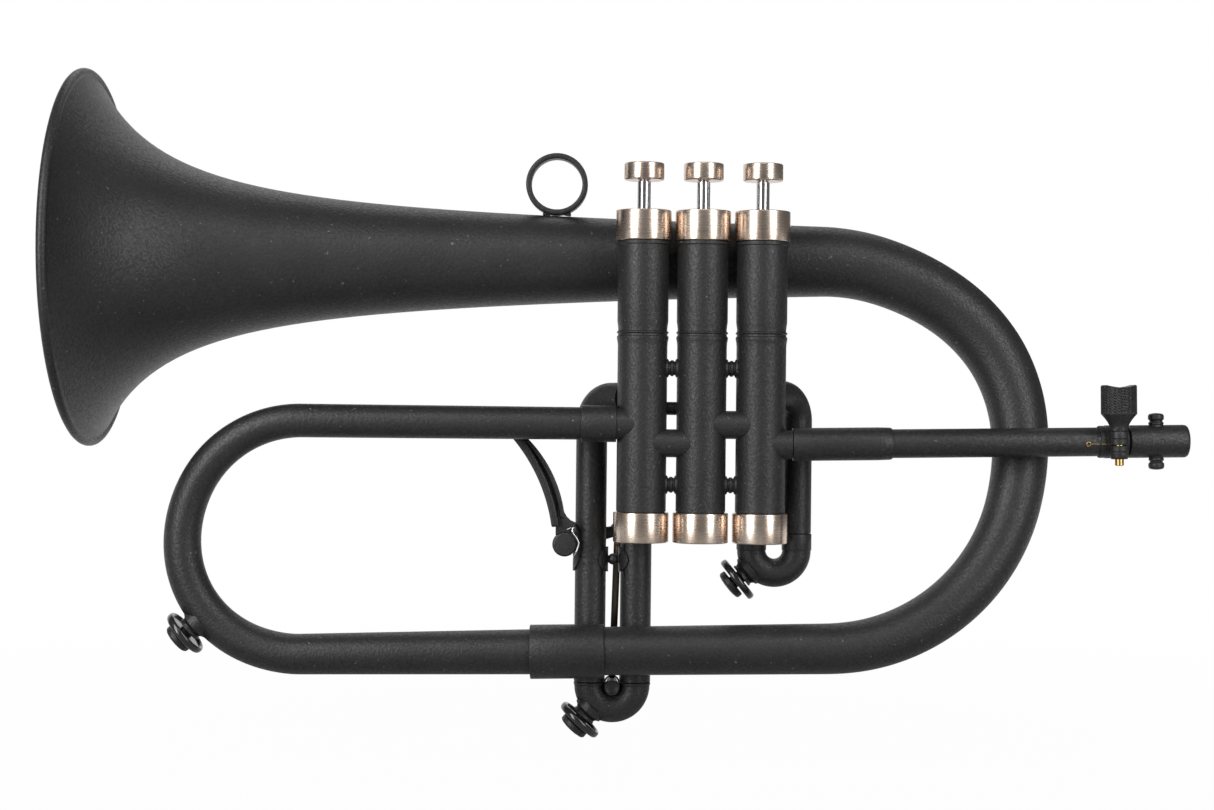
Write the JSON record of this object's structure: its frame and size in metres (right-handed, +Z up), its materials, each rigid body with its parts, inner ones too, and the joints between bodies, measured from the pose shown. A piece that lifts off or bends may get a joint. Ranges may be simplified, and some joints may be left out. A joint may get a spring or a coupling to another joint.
{
  "type": "flugelhorn",
  "caption": "Valved brass wind instrument with a wide bell, an oval bow, upright piston valves, tuning slides and a thumb trigger.",
  "frame": {"origin": "centre of the flat underside of the middle valve's bottom cap", "axes": "+Z up along the valves, +X towards the player's end, +Y away from the viewer of the side that shows the valves"},
  "size_m": [0.4395, 0.1524, 0.2669],
  "materials": {
    "black_coat": "satin black powder coat with a fine grain",
    "black_gloss": "gloss black",
    "bronze": "brushed bronze",
    "steel": "polished",
    "brass": "plain brass",
    "nickel": "lapped nickel silver"
  },
  "bodies": {
    "horn": {"bell": "black_coat", "bell_ferrule": "black_coat", "finger_ring": "black_coat", "main_bow": "black_coat", "bow_ferrule": "black_coat", "branch_loop": "black_coat", "outlet_ferrule": "black_coat", "valve_1_casing": "black_coat", "valve_1_top_cap": "bronze", "valve_1_bottom_cap": "bronze", "valve_1_spring": "steel", "valve_2_casing": "black_coat", "valve_2_top_cap": "bronze", "valve_2_bottom_cap": "bronze", "valve_2_spring": "steel", "valve_3_casing": "black_coat", "valve_3_top_cap": "bronze", "valve_3_bottom_cap": "bronze", "valve_3_spring": "steel", "crossover_3_2": "black_coat", "crossover_2_1": "black_coat", "lower_stay_3_2": "black_coat", "upper_stay_3_2": "black_coat", "lower_stay_2_1": "black_coat", "upper_stay_2_1": "black_coat", "rear_stay_3_2": "black_coat", "lead_pipe_ferrule": "black_coat", "lead_pipe": "black_coat", "clamp_collar": "black_coat", "first_sleeve_rear": "black_coat", "first_sleeve_front": "black_coat", "second_sleeve_lower": "black_coat", "second_sleeve_upper": "black_coat", "third_sleeve_front": "black_coat", "third_sleeve_rear": "black_coat", "third_slide_stay": "black_coat", "trigger_bracket": "black_coat", "trigger_spring": "steel"},
    "first_slide": {"first_slide_crook": "black_coat"},
    "first_water_key": {"first_water_key_ring": "black_gloss"},
    "second_slide": {"second_slide_crook": "black_coat"},
    "third_slide": {"third_slide_crook": "black_coat", "trigger_rod": "steel"},
    "third_water_key": {"third_water_key_ring": "black_gloss"},
    "loop_water_key": {"loop_water_key_ring": "black_gloss"},
    "trigger": {"trigger_lever": "black_coat", "trigger_crank": "black_coat"},
    "receiver": {"mouthpiece_receiver": "black_coat"},
    "clamp_screw": {"clamp_thumb_head": "black_coat", "clamp_screw": "brass"},
    "valve_1": {"valve_1_piston": "nickel", "valve_1_stem": "steel", "valve_1_button": "bronze"},
    "valve_2": {"valve_2_piston": "nickel", "valve_2_stem": "steel", "valve_2_button": "bronze"},
    "valve_3": {"valve_3_piston": "nickel", "valve_3_stem": "steel", "valve_3_button": "bronze"}
  },
  "joints": [
    {"name": "valve_1_press", "type": "slide", "parent": "horn", "child": "valve_1", "axis": [0, 0, -1], "range_m": [0, 0.0106], "stiffness_N_per_m": 150, "springref_m": -0.016, "deforming": ["valve_1_spring"]},
    {"name": "valve_2_press", "type": "slide", "parent": "horn", "child": "valve_2", "axis": [0, 0, -1], "range_m": [0, 0.0106], "stiffness_N_per_m": 150, "springref_m": -0.016, "deforming": ["valve_2_spring"]},
    {"name": "valve_3_press", "type": "slide", "parent": "horn", "child": "valve_3", "axis": [0, 0, -1], "range_m": [0, 0.0106], "stiffness_N_per_m": 150, "springref_m": -0.016, "deforming": ["valve_3_spring"]},
    {"name": "first_slide_pull", "type": "slide", "parent": "horn", "child": "first_slide", "axis": [0, 0, -1], "range_m": [0, 0.015]},
    {"name": "second_slide_pull", "type": "slide", "parent": "horn", "child": "second_slide", "axis": [0, 1, 0], "range_m": [0, 0.008]},
    {"name": "trigger_turn", "type": "hinge", "parent": "horn", "child": "trigger", "pos_m": [-0.0533, 0.0178, -0.0018], "axis": [0, 1, 0], "range_deg": [0, 25], "stiffness_Nm_per_rad": 0.03, "springref_deg": -34.38},
    {"name": "third_slide_move", "type": "slide", "parent": "horn", "child": "third_slide", "axis": [0, 0, -1], "range_m": [0, 0.0094]},
    {"name": "receiver_pull", "type": "slide", "parent": "horn", "child": "receiver", "axis": [0.9998, 0, 0.0192], "range_m": [0, 0.012]},
    {"name": "clamp_screw_turn", "type": "hinge", "parent": "horn", "child": "clamp_screw", "pos_m": [0.16138, -0.0109, 0.04131], "axis": [-0.0192, 0, 0.9998], "range_deg": [0, 180]},
    {"name": "loop_water_key_push", "type": "slide", "parent": "horn", "child": "loop_water_key", "axis": [0.766, 0, 0.6428], "range_m": [0, 0.001], "stiffness_N_per_m": 500, "springref_m": -0.002},
    {"name": "first_water_key_push", "type": "slide", "parent": "first_slide", "child": "first_water_key", "axis": [0.7771, 0, 0.6293], "range_m": [0, 0.001], "stiffness_N_per_m": 500, "springref_m": -0.002},
    {"name": "third_water_key_push", "type": "slide", "parent": "third_slide", "child": "third_water_key", "axis": [0.6691, 0, 0.7431], "range_m": [0, 0.001], "stiffness_N_per_m": 500, "springref_m": -0.002}
  ],
  "couplings": [
    {"joint": "trigger_turn", "follows": "third_slide_move", "rad_per_m": 46.4}
  ]
}
